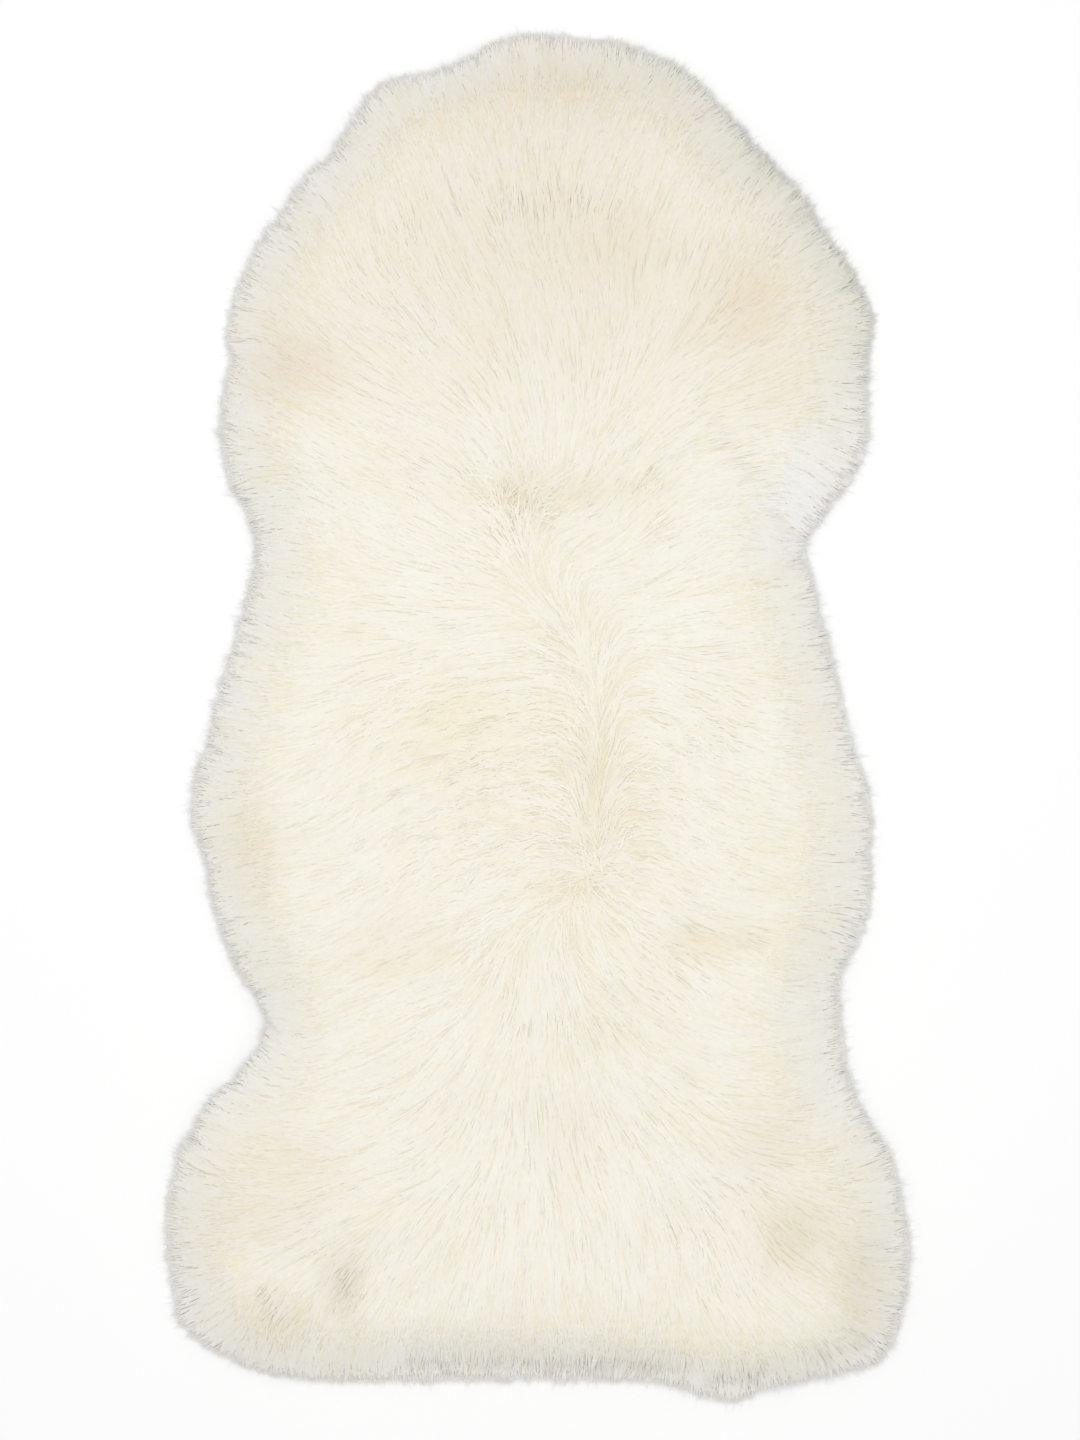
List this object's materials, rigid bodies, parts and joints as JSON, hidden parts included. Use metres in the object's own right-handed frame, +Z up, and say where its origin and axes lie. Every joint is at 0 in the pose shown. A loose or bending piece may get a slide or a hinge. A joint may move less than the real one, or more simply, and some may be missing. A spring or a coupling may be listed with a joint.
{
  "type": "sheepskin rug",
  "caption": "Long-haired sheepskin rug in the outline of a whole pelt, lying flat on its suede side, with locks of wool round its rim",
  "frame": {"origin": "On the surface that the rug lies on, under the middle of its outline", "axes": "+X across the rug, +Y along it towards the neck end, +Z up out of the wool"},
  "size_m": [0.5516, 1.0074, 0.0524],
  "materials": {
    "wool": "soft matte long wool, natural cream",
    "suede": "matt suede side of a tanned skin, undyed"
  },
  "bodies": {
    "root": {"pelt": "wool"}
  },
  "joints": []
}
